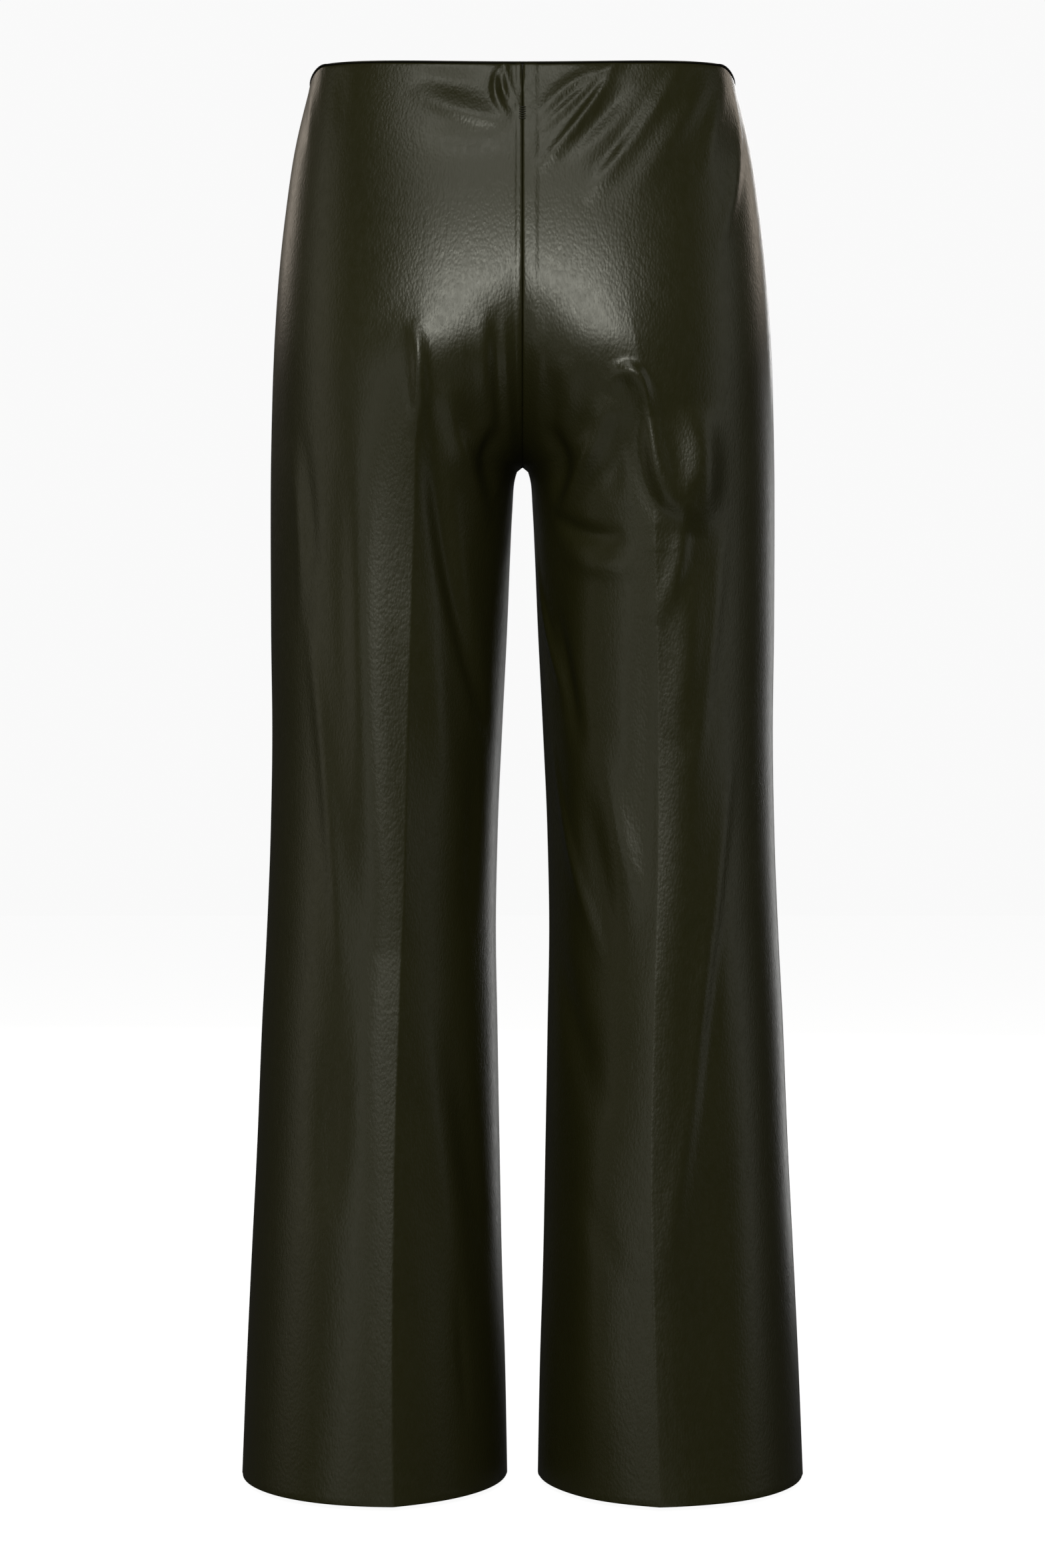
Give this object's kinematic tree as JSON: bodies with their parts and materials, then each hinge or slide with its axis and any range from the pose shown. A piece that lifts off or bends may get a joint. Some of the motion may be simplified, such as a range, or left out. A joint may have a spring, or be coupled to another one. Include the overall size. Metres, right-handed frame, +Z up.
{
  "type": "wide-leg pull-on trousers in faux leather on a knit backing",
  "caption": "Hollow wide-leg pull-on trousers in dark olive faux leather, filled out as worn, with pressed creases, a centre back seam and open waist and hems.",
  "frame": {"origin": "centre of the waist opening, 20 mm below its top edge, on the plane of the centre seams", "axes": "+Z up towards the waist, -Y towards the seat and +Y towards the front, so +X is the wearer's right side"},
  "size_m": [0.3928, 0.2542, 0.9731],
  "materials": {
    "faux_leather": "dark olive polyurethane coating with a fine pebbled grain and a soft gloss",
    "knit_backing": "matt brushed knit on the inner side of the coating",
    "facing_tape": "matt ribbed elastic inside the waist",
    "thread": "matt spun polyester sewing thread"
  },
  "bodies": {
    "root": {"back_left": "faux_leather", "back_right": "faux_leather", "front_left": "faux_leather", "front_right": "faux_leather", "waist_facing": "facing_tape"}
  },
  "joints": []
}
